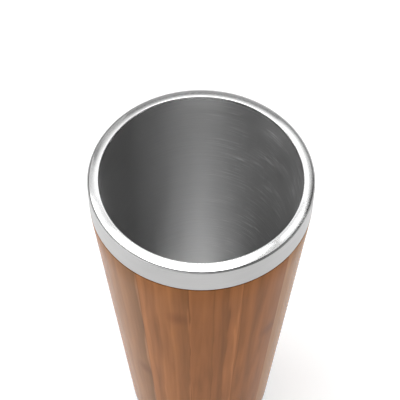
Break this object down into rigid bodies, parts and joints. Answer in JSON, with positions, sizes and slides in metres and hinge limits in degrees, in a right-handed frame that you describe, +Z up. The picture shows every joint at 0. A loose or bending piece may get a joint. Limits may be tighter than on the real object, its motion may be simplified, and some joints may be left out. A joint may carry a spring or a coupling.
{
  "type": "tumbler",
  "caption": "Tapered double-wall steel tumbler with a crowned lip, a satin band and a sleeve of upright bamboo staves, open at the mouth.",
  "frame": {"origin": "centre of the face that the cup stands on", "axes": "+Z up the cup's axis, out of the mouth; -Y towards the camera of the picture; +X to its right"},
  "size_m": [0.0868, 0.0868, 0.18],
  "materials": {
    "liner_steel": "polished lip, brushed inside",
    "satin_steel": "satin, brushed round the axis",
    "raw_steel": "as rolled",
    "getter_metal": "sintered, matt",
    "solder_glass": "fused bead",
    "bamboo": "carbonised strips, clear satin lacquer",
    "silicone": "matt"
  },
  "bodies": {
    "root": {"inner_liner": "liner_steel", "outer_shell": "satin_steel", "bamboo_stave_01": "bamboo", "bamboo_stave_02": "bamboo", "bamboo_stave_03": "bamboo", "bamboo_stave_04": "bamboo", "bamboo_stave_05": "bamboo", "bamboo_stave_06": "bamboo", "bamboo_stave_07": "bamboo", "bamboo_stave_08": "bamboo", "bamboo_stave_09": "bamboo", "bamboo_stave_10": "bamboo", "bamboo_stave_11": "bamboo", "bamboo_stave_12": "bamboo", "bamboo_stave_13": "bamboo", "outer_bottom": "raw_steel", "getter": "getter_metal", "seal_bead": "solder_glass", "base_cap": "satin_steel", "foot_ring": "silicone"}
  },
  "joints": []
}
